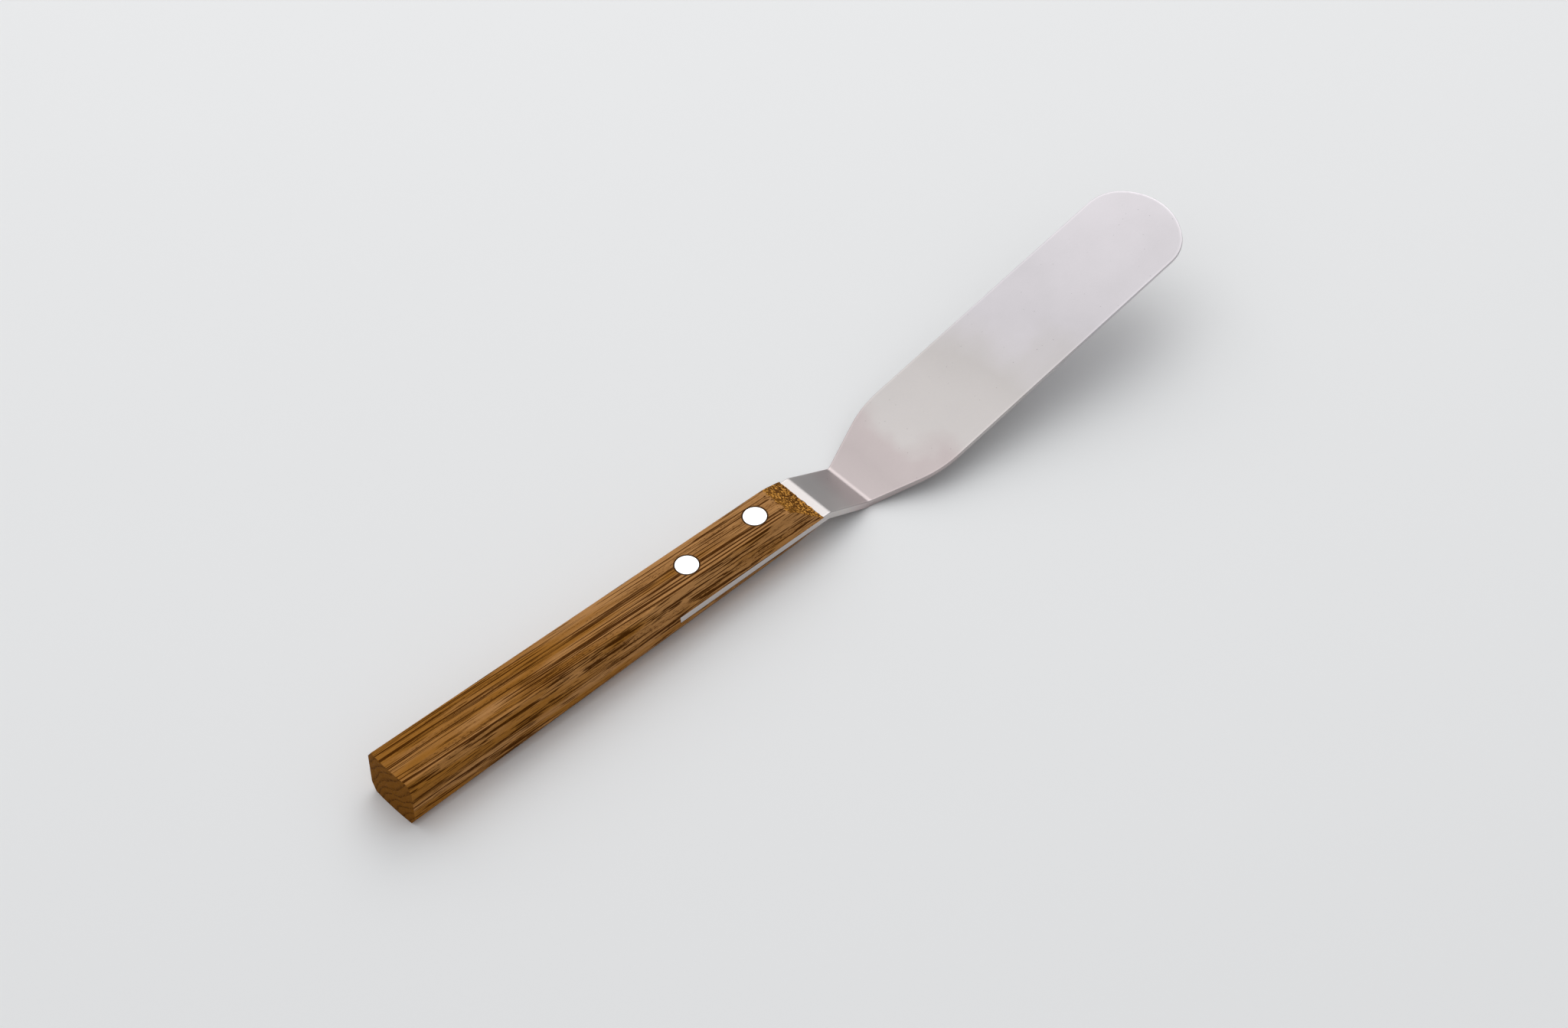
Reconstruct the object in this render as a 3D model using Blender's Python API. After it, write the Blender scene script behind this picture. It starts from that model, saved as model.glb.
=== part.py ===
"""Palette knife: an oak handle with a cranked steel blade held by two cutler's rivets.

Metres, +Z up. The knife lies as it rests on a table: the handle's top face is level, and the
knife stands on the handle's butt and on the bend at the blade's heel. The origin is below the
middle of its length, on the table. +X runs from the handle to the blade's tip.

Each shape is worked out from the butt end of the handle's top face (x = 0, z = 0), and one
empty then carries all the pieces to the part's own frame.
"""

import math

import bmesh
import bpy
from mathutils import Vector

MM = 0.001
GAP = 0.3 * MM                      # clearance between touching pieces
SNAP = 0.001 * MM                   # points closer than this to a saw cut are moved onto it

# Handle
HANDLE_WIDTH = 16.2 * MM            # width of the oak blank, the same all along
TOP_FLAT_AT_BUTT = 13.2 * MM        # width of the flat top face between its chamfers
TOP_FLAT_AT_FRONT = 10.0 * MM
CHAMFER_DROP_AT_BUTT = 2.4 * MM     # how far the chamfers reach down the sides
CHAMFER_DROP_AT_FRONT = 5.4 * MM
TOP_FACE_LENGTH = 121.7 * MM        # butt to the top of the sloping front end
NOSE_X = 129.9 * MM                 # where the sloping front end meets the steel
HANDLE_DEPTH_AT_FRONT = 13.0 * MM
ARRIS = 0.35 * MM                   # softening of the handle's edges
CORNER_CUT_ALONG = 2.9 * MM         # small facet knocked off one butt corner
CORNER_CUT_ACROSS = 3.4 * MM

# Steel
STEEL = 2.0 * MM                    # thickness of the tang and the crank
BLADE_AT_SHOULDER = 1.2 * MM        # thickness where the heel has widened out
BLADE_AT_TIP = 0.7 * MM
TANG_LEVEL = 6.0 * MM               # the tang's top lies this far below the handle's top
TANG_START_X = 83.0 * MM
TANG_HALF_WIDTH = 8.1 * MM
BEND_HALF_WIDTH = 7.9 * MM          # half width at the upper bend
HEEL_HALF_WIDTH = 7.62 * MM         # half width at the heel bend
UPPER_BEND_X = 132.0 * MM
HEEL_BEND_X = 145.4 * MM
HEEL_BEND_Z = -12.4 * MM
UPPER_BEND_RADIUS = 3.0 * MM        # on the top side, which is the outside of this bend
HEEL_BEND_RADIUS = 2.5 * MM         # on the top side, which is the inside of this bend
BLADE_PITCH = math.radians(12.4)    # the blade climbs at this angle to the handle's top
BLADE_LENGTH = 111.8 * MM           # heel bend to tip
BLADE_HALF_WIDTH = 14.8 * MM
FLARE = math.radians(21.6)          # how fast each side of the heel widens
SHOULDER_RADIUS = 30.0 * MM
TIP_CORNER_RADIUS = 10.0 * MM
TIP_RADIUS = 17.4 * MM

# Rivets
RIVET_X = (92.0 * MM, 114.4 * MM)
RIVET_Y = (-0.5 * MM, -0.1 * MM)    # the holes are a little off the middle, as drilled by hand
HEAD_DIAMETER = 6.0 * MM
HEAD_THICKNESS = 1.2 * MM
TUBE_DIAMETER = 4.0 * MM
TUBE_BORE = 2.6 * MM
TUBE_END_Z = -9.6 * MM
BORE_TOP_Z = -2.4 * MM
PIN_DIAMETER = TUBE_BORE - 2 * GAP
PIN_END_Z = -3.2 * MM
ROUND_SEGMENTS = 48

ARC_STEPS = 8


# ---------------------------------------------------------------- the steel's side line

RISER_ANGLE = math.atan2(-TANG_LEVEL - HEEL_BEND_Z, HEEL_BEND_X - UPPER_BEND_X)
UPPER_TANGENT = UPPER_BEND_RADIUS * math.tan(RISER_ANGLE / 2)
HEEL_TURN = RISER_ANGLE + BLADE_PITCH
HEEL_TANGENT = HEEL_BEND_RADIUS * math.tan(HEEL_TURN / 2)
RISER_LENGTH = math.hypot(HEEL_BEND_X - UPPER_BEND_X, TANG_LEVEL + HEEL_BEND_Z)

# The steel is laid out flat first. Distances along its top side, from the tang's end:
UPPER_BEND_START = UPPER_BEND_X - UPPER_TANGENT - TANG_START_X
UPPER_BEND_END = UPPER_BEND_START + UPPER_BEND_RADIUS * RISER_ANGLE
HEEL_START = UPPER_BEND_END + RISER_LENGTH - UPPER_TANGENT - HEEL_TANGENT
HEEL_END = HEEL_START + HEEL_BEND_RADIUS * HEEL_TURN
BLADE_ZERO = HEEL_END - HEEL_TANGENT        # where the unbent heel line would lie
TIP = BLADE_ZERO + BLADE_LENGTH


def turn(point, heading, radius, angle):
    """Walk an arc in the XZ plane from point. A positive angle climbs."""
    side = math.copysign(1.0, angle)
    centre = point + Vector((-math.sin(heading), 0, math.cos(heading))) * radius * side
    end = heading + angle
    return centre + Vector((math.sin(end), 0, -math.cos(end))) * radius * side


def steel_line(distance):
    """Point and heading of the steel's top side at a distance from the tang's end."""
    start = Vector((TANG_START_X, 0, -TANG_LEVEL))
    if distance <= UPPER_BEND_START:
        return start + Vector((distance, 0, 0)), 0.0
    bend = start + Vector((UPPER_BEND_START, 0, 0))
    if distance <= UPPER_BEND_END:
        angle = -(distance - UPPER_BEND_START) / UPPER_BEND_RADIUS
        return turn(bend, 0.0, UPPER_BEND_RADIUS, angle), angle
    bend = turn(bend, 0.0, UPPER_BEND_RADIUS, -RISER_ANGLE)
    along_riser = min(distance, HEEL_START) - UPPER_BEND_END
    down = Vector((math.cos(RISER_ANGLE), 0, -math.sin(RISER_ANGLE)))
    foot = bend + down * along_riser
    if distance <= HEEL_START:
        return foot, -RISER_ANGLE
    angle = (min(distance, HEEL_END) - HEEL_START) / HEEL_BEND_RADIUS
    heel = turn(foot, -RISER_ANGLE, HEEL_BEND_RADIUS, angle)
    heading = angle - RISER_ANGLE
    if distance <= HEEL_END:
        return heel, heading
    climb = Vector((math.cos(BLADE_PITCH), 0, math.sin(BLADE_PITCH)))
    return heel + climb * (distance - HEEL_END), BLADE_PITCH


def heel_underside():
    """Height of the lowest point of the steel, under the heel bend."""
    foot, heading = steel_line(HEEL_START)
    lowest_on_top = turn(foot, heading, HEEL_BEND_RADIUS, RISER_ANGLE)
    return lowest_on_top.z - STEEL


HANDLE_DEPTH_AT_BUTT = -heel_underside()    # the butt reaches down as far as the heel does


# ---------------------------------------------------------------- helpers

def clear_scene():
    for thing in list(bpy.data.objects):
        bpy.data.objects.remove(thing, do_unlink=True)


def make_material(name, colour, roughness, metallic):
    material = bpy.data.materials.new(name)
    material.use_nodes = True
    shader = material.node_tree.nodes["Principled BSDF"]
    shader.inputs["Base Color"].default_value = (*colour, 1.0)
    shader.inputs["Roughness"].default_value = roughness
    shader.inputs["Metallic"].default_value = metallic
    return material


def make_object(name, shape, material=None, parent=None):
    """Turn a finished bmesh into a named object."""
    bmesh.ops.recalc_face_normals(shape, faces=shape.faces)
    mesh = bpy.data.meshes.new(name)
    shape.to_mesh(mesh)
    shape.free()
    if material:
        mesh.materials.append(material)
    thing = bpy.data.objects.new(name, mesh)
    bpy.context.collection.objects.link(thing)
    thing.parent = parent
    return thing


def hide_as_cutter(thing):
    thing.hide_render = True
    thing.display_type = "WIRE"


def cut(thing, cutter):
    modifier = thing.modifiers.new("cut_" + cutter.name, "BOOLEAN")
    modifier.operation = "DIFFERENCE"
    modifier.solver = "EXACT"
    modifier.object = cutter


def add_cylinder(shape, radius, bottom, top, x, y):
    """A closed upright cylinder inside a bmesh."""
    made = bmesh.ops.create_cone(
        shape, cap_ends=True, segments=ROUND_SEGMENTS,
        radius1=radius, radius2=radius, depth=top - bottom,
    )
    middle = Vector((x, y, (top + bottom) / 2))
    bmesh.ops.translate(shape, vec=middle, verts=made["verts"])


def turned_shape(profile, x, y):
    """Spin an outline of (radius, height) points, axis to axis, about an upright axis."""
    shape = bmesh.new()
    points = [shape.verts.new((radius, 0, height)) for radius, height in profile]
    edges = [shape.edges.new(pair) for pair in zip(points, points[1:])]
    bmesh.ops.spin(
        shape, geom=points + edges, cent=(0, 0, 0), axis=(0, 0, 1),
        angle=math.tau, steps=ROUND_SEGMENTS, use_merge=True, use_duplicate=False,
    )
    bmesh.ops.remove_doubles(shape, verts=shape.verts, dist=1e-7)
    bmesh.ops.translate(shape, vec=(x, y, 0), verts=shape.verts)
    return shape


def shade_round(thing):
    thing.data.shade_smooth()
    thing.data.set_sharp_from_angle(angle=math.radians(35))


# ---------------------------------------------------------------- handle

def handle_depth(x):
    """Depth of the handle below its top face at x."""
    share = x / NOSE_X
    return HANDLE_DEPTH_AT_BUTT + (HANDLE_DEPTH_AT_FRONT - HANDLE_DEPTH_AT_BUTT) * share


def handle_section(shape, x):
    """The handle's eight-sided section at x, as a face."""
    share = x / TOP_FACE_LENGTH
    flat = (TOP_FLAT_AT_BUTT + (TOP_FLAT_AT_FRONT - TOP_FLAT_AT_BUTT) * share) / 2
    drop = CHAMFER_DROP_AT_BUTT + (CHAMFER_DROP_AT_FRONT - CHAMFER_DROP_AT_BUTT) * share
    side = HANDLE_WIDTH / 2
    floor = -handle_depth(x)
    right = [(flat, 0), (side, -drop), (side, floor + drop), (flat, floor)]
    left = [(-y, z) for y, z in reversed(right)]
    return shape.faces.new([shape.verts.new((x, y, z)) for y, z in right + left])


def cut_away(shape, point, normal):
    """Saw the shape flat at a plane and drop the side that normal points to."""
    everything = shape.verts[:] + shape.edges[:] + shape.faces[:]
    bmesh.ops.bisect_plane(
        shape, geom=everything, dist=SNAP, plane_co=point, plane_no=normal, clear_outer=True,
    )
    rim = [edge for edge in shape.edges if edge.is_boundary]
    bmesh.ops.holes_fill(shape, edges=rim, sides=0)


def make_handle(material, parent):
    shape = bmesh.new()
    butt = handle_section(shape, 0.0)
    front = handle_section(shape, NOSE_X)
    bmesh.ops.bridge_loops(shape, edges=butt.edges[:] + front.edges[:])

    # One facet off the butt's top corner on the +Y side, from the top face to the side.
    flat = TOP_FLAT_AT_BUTT / 2
    on_top = Vector((CORNER_CUT_ALONG, flat, 0))
    on_butt = Vector((0, flat - CORNER_CUT_ACROSS, 0))
    on_side = Vector((0, HANDLE_WIDTH / 2, -CHAMFER_DROP_AT_BUTT))
    outward = (on_butt - on_top).cross(on_side - on_top).normalized()
    if outward.x > 0:
        outward.negate()
    cut_away(shape, on_top, outward)

    # The front end slopes back from the steel, above it and below it.
    slope_run = NOSE_X - TOP_FACE_LENGTH
    above = Vector((TANG_LEVEL, 0, slope_run)).normalized()
    below = Vector((TANG_LEVEL, 0, -slope_run)).normalized()
    edge_sides = [e for e in shape.edges if e.calc_face_angle(0) > math.radians(15)]
    bmesh.ops.bevel(
        shape, geom=edge_sides, offset=ARRIS, segments=2, profile=0.5,
        affect="EDGES", material=-1, clamp_overlap=True,
    )
    cut_away(shape, Vector((NOSE_X, 0, -TANG_LEVEL)), above)
    cut_away(shape, Vector((NOSE_X, 0, -TANG_LEVEL - STEEL)), below)
    handle = make_object("handle", shape, material, parent)

    # Saw kerf for the tang, open at the front and on both sides.
    slot = bmesh.new()
    bmesh.ops.create_cube(slot, size=1.0)
    length = NOSE_X - TANG_START_X + 2 * GAP + 10 * MM
    size = Vector((length, HANDLE_WIDTH * 2, STEEL + 2 * GAP))
    bmesh.ops.scale(slot, vec=size, verts=slot.verts)
    middle = (TANG_START_X - GAP + length / 2, 0, -TANG_LEVEL - STEEL / 2)
    bmesh.ops.translate(slot, vec=middle, verts=slot.verts)
    kerf = make_object("kerf_cutter", slot, parent=parent)
    hide_as_cutter(kerf)
    cut(handle, kerf)

    for number, (x, y) in enumerate(zip(RIVET_X, RIVET_Y), start=1):
        floor = -handle_depth(x)
        seat = HEAD_DIAMETER / 2 + GAP
        through = TUBE_DIAMETER / 2 + GAP
        sink = HEAD_THICKNESS + GAP
        profile = [
            (0, MM), (seat, MM), (seat, -sink), (through, -sink),
            (through, floor + sink), (seat, floor + sink), (seat, floor - MM), (0, floor - MM),
        ]
        hole = turned_shape(profile, x, y)
        drill = make_object(f"rivet_drill_{number}", hole, parent=parent)
        hide_as_cutter(drill)
        cut(handle, drill)
    shade_round(handle)
    return handle


# ---------------------------------------------------------------- blade

def arc(centre, radius, start, end, steps):
    """Points on an arc, both ends included."""
    angles = [start + (end - start) * step / steps for step in range(steps + 1)]
    return [(centre[0] + radius * math.cos(a), centre[1] + radius * math.sin(a)) for a in angles]


def blade_side():
    """One side of the flat steel, from the tang's end to the tip, as (distance, half width)."""
    side = [(0.0, TANG_HALF_WIDTH), (UPPER_BEND_START, BEND_HALF_WIDTH)]
    side.append((BLADE_ZERO, HEEL_HALF_WIDTH))

    # The heel widens in a straight line, then turns parallel in the shoulder's arc.
    shoulder_y = BLADE_HALF_WIDTH - SHOULDER_RADIUS
    widened = shoulder_y + SHOULDER_RADIUS * math.cos(FLARE) - HEEL_HALF_WIDTH
    shoulder_x = BLADE_ZERO + widened / math.tan(FLARE) + SHOULDER_RADIUS * math.sin(FLARE)
    quarter = math.pi / 2
    side += arc((shoulder_x, shoulder_y), SHOULDER_RADIUS, quarter + FLARE, quarter, ARC_STEPS)

    # Two corner arcs run into one larger arc across the tip.
    tip_centre = TIP - TIP_RADIUS
    corner_y = BLADE_HALF_WIDTH - TIP_CORNER_RADIUS
    corner_x = tip_centre + math.sqrt((TIP_RADIUS - TIP_CORNER_RADIUS) ** 2 - corner_y ** 2)
    meet = math.atan2(corner_y, corner_x - tip_centre)
    side += arc((corner_x, corner_y), TIP_CORNER_RADIUS, quarter, meet, ARC_STEPS)
    side += arc((tip_centre, 0.0), TIP_RADIUS, meet, 0.0, 2 * ARC_STEPS)[1:]
    return side


def thickness(distance):
    """The steel is ground thinner from the heel to the shoulder and on to the tip."""
    shoulder = BLADE_ZERO + (BLADE_HALF_WIDTH - HEEL_HALF_WIDTH) / math.tan(FLARE)
    if distance <= HEEL_END:
        return STEEL
    if distance <= shoulder:
        share = (distance - HEEL_END) / (shoulder - HEEL_END)
        return STEEL + (BLADE_AT_SHOULDER - STEEL) * share
    share = (distance - shoulder) / (TIP - shoulder)
    return BLADE_AT_SHOULDER + (BLADE_AT_TIP - BLADE_AT_SHOULDER) * share


def bend_stations():
    """Distances at which the flat steel is creased into its two bends and its tapers."""
    steps = [step / 6 for step in range(7)]
    stations = [UPPER_BEND_START + (UPPER_BEND_END - UPPER_BEND_START) * s for s in steps]
    stations += [HEEL_START + (HEEL_END - HEEL_START) * s for s in steps]
    stations.append(BLADE_ZERO + (BLADE_HALF_WIDTH - HEEL_HALF_WIDTH) / math.tan(FLARE))
    return stations


def make_blade(material, parent):
    shape = bmesh.new()
    side = blade_side()
    outline = [(x, -y) for x, y in side] + [(x, y) for x, y in reversed(side[:-1])]
    shape.faces.new([shape.verts.new((x, y, 0)) for x, y in outline])
    for station in bend_stations():
        everything = shape.verts[:] + shape.edges[:] + shape.faces[:]
        bmesh.ops.bisect_plane(
            shape, geom=everything, plane_co=(station, 0, 0), plane_no=(1, 0, 0),
        )
    grown = bmesh.ops.extrude_face_region(shape, geom=shape.faces[:])
    underside = [v for v in grown["geom"] if isinstance(v, bmesh.types.BMVert)]
    bmesh.ops.translate(shape, vec=(0, 0, -1), verts=underside)

    # Bend the flat steel: z holds 0 on the top side and -1 on the underside.
    for vert in shape.verts:
        point, heading = steel_line(vert.co.x)
        up = Vector((-math.sin(heading), 0, math.cos(heading)))
        across = Vector((0, vert.co.y, 0))
        vert.co = point + across + up * thickness(vert.co.x) * vert.co.z
    blade = make_object("blade", shape, material, parent)

    for number, (x, y) in enumerate(zip(RIVET_X, RIVET_Y), start=1):
        hole = bmesh.new()
        radius = TUBE_DIAMETER / 2 + GAP
        add_cylinder(hole, radius, -TANG_LEVEL - 2 * STEEL, -TANG_LEVEL + STEEL, x, y)
        punch = make_object(f"tang_punch_{number}", hole, parent=parent)
        hide_as_cutter(punch)
        cut(blade, punch)
    shade_round(blade)
    return blade


# ---------------------------------------------------------------- rivets

def make_rivet(place, x, y, material, parent):
    """A two-part rivet: a tube with a head on top and a pin with a head below."""
    head = HEAD_DIAMETER / 2
    tube = TUBE_DIAMETER / 2
    bore = TUBE_BORE / 2
    pin = PIN_DIAMETER / 2
    chamfer = 0.15 * MM
    floor = -handle_depth(x)

    tube_profile = [
        (0, 0), (head - chamfer, 0), (head, -chamfer), (head, -HEAD_THICKNESS),
        (tube, -HEAD_THICKNESS), (tube, TUBE_END_Z), (bore, TUBE_END_Z),
        (bore, BORE_TOP_Z), (0, BORE_TOP_Z),
    ]
    pin_profile = [
        (0, PIN_END_Z), (pin - chamfer, PIN_END_Z), (pin, PIN_END_Z - chamfer),
        (pin, floor + HEAD_THICKNESS), (head, floor + HEAD_THICKNESS),
        (head, floor + chamfer), (head - chamfer, floor), (0, floor),
    ]
    for part, profile in (("tube", tube_profile), ("pin", pin_profile)):
        shape = turned_shape(profile, x, y)
        thing = make_object(f"{place}_rivet_{part}", shape, material, parent)
        shade_round(thing)


# ---------------------------------------------------------------- assembly

def main():
    clear_scene()
    oak = make_material("oak", (0.28, 0.15, 0.06), 0.5, 0.0)
    satin_steel = make_material("satin_steel", (0.62, 0.61, 0.61), 0.35, 1.0)
    rivet_metal = make_material("rivet_metal", (0.85, 0.84, 0.82), 0.2, 1.0)

    tip_point, pitch = steel_line(TIP)
    overall_length = tip_point.x + BLADE_AT_TIP * math.sin(pitch)
    knife = bpy.data.objects.new("palette_knife", None)
    knife.location = (-overall_length / 2, 0, HANDLE_DEPTH_AT_BUTT)
    bpy.context.collection.objects.link(knife)

    make_handle(oak, knife)
    make_blade(satin_steel, knife)
    for place, x, y in zip(("rear", "front"), RIVET_X, RIVET_Y):
        make_rivet(place, x, y, rivet_metal, knife)
    bpy.context.view_layer.update()


main()
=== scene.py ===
"""Palette knife: the finished surfaces of its oak handle, cranked steel blade and rivets."""

import math

import bmesh
import bpy
from bpy.props import FloatProperty, FloatVectorProperty, IntProperty, PointerProperty
from mathutils import Matrix, Vector, noise


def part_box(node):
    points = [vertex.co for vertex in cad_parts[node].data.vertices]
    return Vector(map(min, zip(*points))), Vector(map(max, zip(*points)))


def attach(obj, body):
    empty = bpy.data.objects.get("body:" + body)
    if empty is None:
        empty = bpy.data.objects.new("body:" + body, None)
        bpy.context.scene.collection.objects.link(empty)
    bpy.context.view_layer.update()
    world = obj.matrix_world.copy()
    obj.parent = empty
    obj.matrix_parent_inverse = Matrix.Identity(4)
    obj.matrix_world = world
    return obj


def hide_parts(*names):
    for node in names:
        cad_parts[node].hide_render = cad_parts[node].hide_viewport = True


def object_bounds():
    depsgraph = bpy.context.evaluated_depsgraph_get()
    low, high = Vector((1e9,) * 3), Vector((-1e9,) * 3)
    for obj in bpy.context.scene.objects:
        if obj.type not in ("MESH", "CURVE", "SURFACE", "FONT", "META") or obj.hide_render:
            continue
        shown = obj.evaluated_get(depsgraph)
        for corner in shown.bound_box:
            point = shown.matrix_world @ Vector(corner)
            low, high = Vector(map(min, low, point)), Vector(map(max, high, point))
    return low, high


bl_info = {
    "name": "Palette Knife",
    "version": (1, 0, 0),
    "blender": (4, 5, 0),
    "location": "3D View > Sidebar > Knife",
    "description": "Builds a cranked palette knife with an oak handle around its packed frame",
    "category": "Object",
}

MM = 0.001
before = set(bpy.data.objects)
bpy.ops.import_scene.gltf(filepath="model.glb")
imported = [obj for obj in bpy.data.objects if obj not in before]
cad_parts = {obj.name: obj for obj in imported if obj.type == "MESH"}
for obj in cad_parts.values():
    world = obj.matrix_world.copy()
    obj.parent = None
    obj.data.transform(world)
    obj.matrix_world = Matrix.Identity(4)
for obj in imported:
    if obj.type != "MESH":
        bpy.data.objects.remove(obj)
CAD_LOW, CAD_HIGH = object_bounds()

HANDLE_LOW, HANDLE_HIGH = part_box("handle")
BLADE_LOW, BLADE_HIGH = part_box("blade")
BUTT_X = HANDLE_LOW.x
TOP_Z = HANDLE_HIGH.z
RIVET_PLACES = ("rear", "front")
QUARTER = math.pi / 2

SHARP_ANGLE = 40        # degrees, above which shading shows an edge
GRAIN_SLANT = 1.8       # degrees, by which the grain runs off across the handle
PITH = (0, 40.0, 26.0)  # millimetres from the grain's middle line to the middle of the rings
RING_STEP = 1.9         # millimetres

CAMERA_LENS = 100.0
CAMERA_SENSOR = 36.0
CAMERA_DISTANCE = 1.059
CAMERA_AIM = Vector((BUTT_X + 120.0 * MM, -4.5 * MM, TOP_Z))
CAMERA_ANGLES = (-40.47, 48.17, -2.33)  # degrees of turn, lift and roll
FLOOR_HALF_SIDE = 4.0

# Each lamp: its place from the knife's middle, its side in metres and its power in watts.
LAMPS = {
    "softbox": (Vector((0.40, 0.66, 1.04)), 1.9, 8.4),
    "key": (Vector((0.72, 0.65, 0.87)), 0.7, 1.5),
}
SKY_LOW = (0.25, 0.255, 0.265, 1.0)
SKY_HIGH = (0.62, 0.63, 0.645, 1.0)


# ---------------------------------------------------------------- sizes and colours

def length(name, description, default):
    """A length that a user may change, in metres."""
    return FloatProperty(
        name=name, description=description, default=default, min=0.0,
        precision=5, unit="LENGTH", subtype="DISTANCE",
    )


def angle(name, description, degrees):
    """An angle that a user may change."""
    return FloatProperty(
        name=name, description=description, default=math.radians(degrees), subtype="ANGLE",
    )


def colour(name, description, default):
    """A linear colour that a user may change."""
    return FloatVectorProperty(
        name=name, description=description, default=default, size=3,
        min=0.0, max=1.0, subtype="COLOR",
    )


class KnifeHandleSizes(bpy.types.PropertyGroup):
    """The oak handle, measured from its butt and its top face."""

    top_at_butt: length("Top at butt", "Width of the flat top at the butt", 13.2 * MM)
    top_at_front: length("Top at front", "Width of the flat top at its front", 10.0 * MM)
    drop_at_butt: length("Chamfer at butt", "How far the chamfers reach down", 2.4 * MM)
    drop_at_front: length("Chamfer at front", "How far the chamfers reach down", 5.4 * MM)
    top_length: length("Top length", "Butt to the start of the sloping nose", 121.7 * MM)
    nose_reach: length("Nose reach", "Butt to where the nose meets the steel", 129.9 * MM)
    front_depth: length("Front depth", "Depth of the handle at its nose", 13.0 * MM)
    arris: length("Arris", "Softening of the long edges", 0.35 * MM)
    brow_round: length("Brow round", "Softening between the top and the nose", 2.0 * MM)
    nose_round: length("Nose round", "Softening of the nose's side corners", 0.8 * MM)
    facet_along: length("Facet along", "Corner facet, along the handle", 2.9 * MM)
    facet_across: length("Facet across", "Corner facet, across the butt", 3.4 * MM)
    crown: length("Butt crown", "How far the butt bulges in its middle", 0.35 * MM)
    torn_grain: length("Torn grain", "Unevenness of the sawn nose", 0.2 * MM)
    kerf_clearance: length("Kerf clearance", "Gap between the wood and the steel", 0.04 * MM)


class KnifeBladeSizes(bpy.types.PropertyGroup):
    """The steel strip, from its tang to the blade's tip."""

    steel: length("Steel", "Thickness of the tang and the crank", 2.0 * MM)
    at_shoulder: length("At shoulder", "Thickness at the blade's shoulder", 1.2 * MM)
    at_tip: length("At tip", "Thickness at the blade's tip", 0.7 * MM)
    tang_level: length("Tang level", "Depth of the tang below the handle's top", 6.0 * MM)
    tang_half_width: length("Tang half width", "Half width of the tang", 8.1 * MM)
    bend_half_width: length("Bend half width", "Half width at the upper bend", 7.9 * MM)
    heel_half_width: length("Heel half width", "Half width at the heel bend", 7.62 * MM)
    upper_bend: length("Upper bend", "Butt to the upper bend", 132.0 * MM)
    heel_bend: length("Heel bend", "Butt to the heel bend", 145.4 * MM)
    heel_drop: length("Heel drop", "Depth of the heel bend below the handle's top", 12.4 * MM)
    upper_radius: length("Upper radius", "Top-side radius of the upper bend", 3.0 * MM)
    heel_radius: length("Heel radius", "Top-side radius of the heel bend", 2.5 * MM)
    pitch: angle("Pitch", "Climb of the blade", 12.4)
    flare: angle("Flare", "Widening of each side of the heel", 21.6)
    blade_length: length("Blade length", "Heel bend to tip", 111.8 * MM)
    shoulder_radius: length("Shoulder radius", "Radius of each shoulder", 30.0 * MM)
    corner_radius: length("Corner radius", "Radius of each corner of the tip", 10.0 * MM)
    tip_radius: length("Tip radius", "Radius across the middle of the tip", 17.4 * MM)
    edge_round: length("Edge round", "Softening of the steel's edges", 0.2 * MM)
    # The brighter rim is a painted highlight along the steel's edges.
    rim: length("Rim", "Width of the brighter rim worn along the edges", 0.8 * MM)


class KnifeRivetSizes(bpy.types.PropertyGroup):
    """The two-part rivets, each a headed tube and a headed pin."""

    head_height: length("Head height", "Thickness of each head", 1.2 * MM)
    tube_radius: length("Tube radius", "Outside of the tube", 2.0 * MM)
    bore_radius: length("Bore radius", "Inside of the tube", 1.3 * MM)
    bore_depth: length("Bore depth", "How far the bore stops below the head's face", 2.4 * MM)
    pin_radius: length("Pin radius", "Shank of the pin", 1.0 * MM)
    head_round: length("Head round", "Softening of the head's rim", 0.12 * MM)
    seat_gap: length("Seat gap", "Dark line between head and wood", 0.2 * MM)
    steps: IntProperty(name="Steps", description="Segments round a rivet", default=96, min=24)


class KnifeColours(bpy.types.PropertyGroup):
    """Finishes of the wood, the metals and the stage."""

    golden: colour("Golden oak", "Light wood, golden", (0.325, 0.134, 0.022))
    tan: colour("Tan oak", "Light wood, pinkish tan", (0.450, 0.220, 0.076))
    early: colour("Early wood", "Brown bands between the rings", (0.165, 0.058, 0.005))
    streak: colour("Grain streak", "Dark rings and pores", (0.060, 0.016, 0.0005))
    end_grain: colour("End grain", "Wood sawn across the grain", (0.86, 0.40, 0.075))
    heel: colour("Heel steel", "Warm grey steel at the heel", (0.430, 0.377, 0.372))
    middle: colour("Middle steel", "Neutral steel along the blade", (0.450, 0.423, 0.412))
    tip: colour("Tip steel", "Lighter, cooler steel at the tip", (0.495, 0.470, 0.487))
    rivet: colour("Rivet metal", "Polished rivet heads", (0.92, 0.91, 0.90))
    floor: colour("Floor", "Pale studio floor", (0.92, 0.92, 0.915))


# ---------------------------------------------------------------- mesh helpers

def new_piece(name, shape):
    """Turn a finished bmesh into an object whose place is in its mesh."""
    mesh = bpy.data.meshes.new(name)
    shape.to_mesh(mesh)
    shape.free()
    piece = bpy.data.objects.new(name, mesh)
    bpy.context.scene.collection.objects.link(piece)
    return piece


def whole(shape):
    """All of a bmesh, for an operator that takes geometry."""
    return shape.verts[:] + shape.edges[:] + shape.faces[:]


def saw(shape, point, normal):
    """Cut flat at a plane, drop the side normal points to, and close the cut."""
    bmesh.ops.bisect_plane(
        shape, geom=whole(shape), dist=1e-6, plane_co=point, plane_no=normal, clear_outer=True,
    )
    rim = [edge for edge in shape.edges if edge.is_boundary]
    bmesh.ops.holes_fill(shape, edges=rim, sides=0)
    bmesh.ops.recalc_face_normals(shape, faces=shape.faces)


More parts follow.
